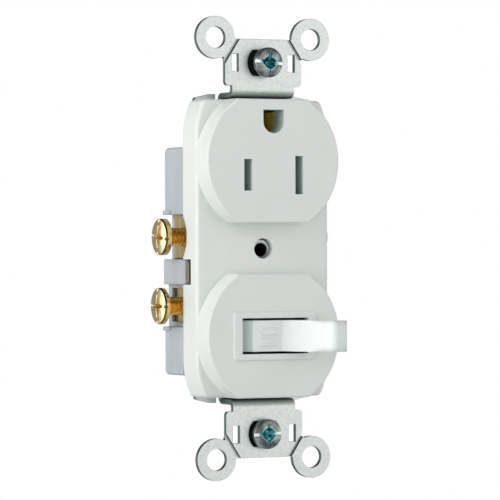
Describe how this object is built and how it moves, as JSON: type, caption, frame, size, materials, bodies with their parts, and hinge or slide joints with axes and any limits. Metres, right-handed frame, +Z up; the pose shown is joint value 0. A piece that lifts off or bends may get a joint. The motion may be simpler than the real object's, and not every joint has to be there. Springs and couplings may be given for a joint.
{
  "type": "switch and socket combination",
  "caption": "Single-gang wiring device with a toggle switch below a grounded socket, on a folded steel yoke with break-off plaster ears and side terminal screws.",
  "frame": {"origin": "middle of the yoke, in the plane of the rear faces of its ears", "axes": "+Z up along the yoke, +Y back into the wall box, +X to the right as seen from the front"},
  "size_m": [0.0416, 0.0368, 0.104],
  "materials": {
    "white_plastic": "smooth moulded, slightly glossy",
    "grey_plastic": "matt moulded thermoplastic",
    "black_fibre": "matt",
    "galvanised_steel": "zinc-plated sheet",
    "zinc_screw": "zinc-plated, blued",
    "silver_screw": "nickel-plated",
    "brass": "bright stamped brass",
    "green_screw": "green dyed",
    "spring_steel": "bright wire",
    "silver_contact": "silver alloy"
  },
  "bodies": {
    "housing": {"face_cover": "white_plastic", "back_body": "grey_plastic", "mounting_strap": "galvanised_steel", "centre_eyelet": "silver_screw", "fixed_contact": "silver_contact", "line_bus": "brass", "neutral_terminal": "brass", "load_terminal": "brass", "ground_contact": "brass", "ground_rivet": "brass", "screw_retainer_top": "black_fibre", "screw_retainer_bottom": "black_fibre", "assembly_screw_upper": "zinc_screw", "assembly_screw_lower": "zinc_screw"},
    "toggle_unit": {"toggle": "white_plastic", "toggle_spring": "spring_steel", "spring_plunger": "brass"},
    "rocker_unit": {"contact_rocker": "brass", "moving_contact": "silver_contact"},
    "line_screw_upper_body": {"line_screw_upper": "brass"},
    "line_screw_lower_body": {"line_screw_lower": "brass"},
    "neutral_screw_body": {"neutral_screw": "silver_screw"},
    "load_screw_body": {"load_screw": "brass"},
    "ground_screw_body": {"ground_screw": "green_screw"},
    "mounting_screw_top_body": {"mounting_screw_top": "zinc_screw"},
    "mounting_screw_bottom_body": {"mounting_screw_bottom": "zinc_screw"}
  },
  "joints": [
    {"name": "toggle_throw", "type": "hinge", "parent": "housing", "child": "toggle_unit", "pos_m": [0, 0.00438, -0.01955], "axis": [0, 0, 1], "range_deg": [-50, 0]},
    {"name": "rocker_tilt", "type": "hinge", "parent": "housing", "child": "rocker_unit", "pos_m": [0, 0.0141, -0.01955], "axis": [0, 0, 1], "range_deg": [0, 12]},
    {"name": "line_screw_upper_drive", "type": "slide", "parent": "housing", "child": "line_screw_upper_body", "axis": [1, 0, 0], "range_m": [0, 0.0043]},
    {"name": "line_screw_lower_drive", "type": "slide", "parent": "housing", "child": "line_screw_lower_body", "axis": [1, 0, 0], "range_m": [0, 0.00405]},
    {"name": "neutral_screw_drive", "type": "slide", "parent": "housing", "child": "neutral_screw_body", "axis": [-1, 0, 0], "range_m": [0, 0.0043]},
    {"name": "load_screw_drive", "type": "slide", "parent": "housing", "child": "load_screw_body", "axis": [-1, 0, 0], "range_m": [0, 0.00345]},
    {"name": "ground_screw_drive", "type": "slide", "parent": "housing", "child": "ground_screw_body", "axis": [-1, 0, 0], "range_m": [0, 0.00195]},
    {"name": "mounting_screw_top_drive", "type": "slide", "parent": "housing", "child": "mounting_screw_top_body", "axis": [0, 1, 0], "range_m": [0, 0.00165]},
    {"name": "mounting_screw_bottom_drive", "type": "slide", "parent": "housing", "child": "mounting_screw_bottom_body", "axis": [0, 1, 0], "range_m": [0, 0.00058]}
  ],
  "couplings": [
    {"joint": "rocker_tilt", "follows": "toggle_throw", "ratio": -0.24}
  ]
}
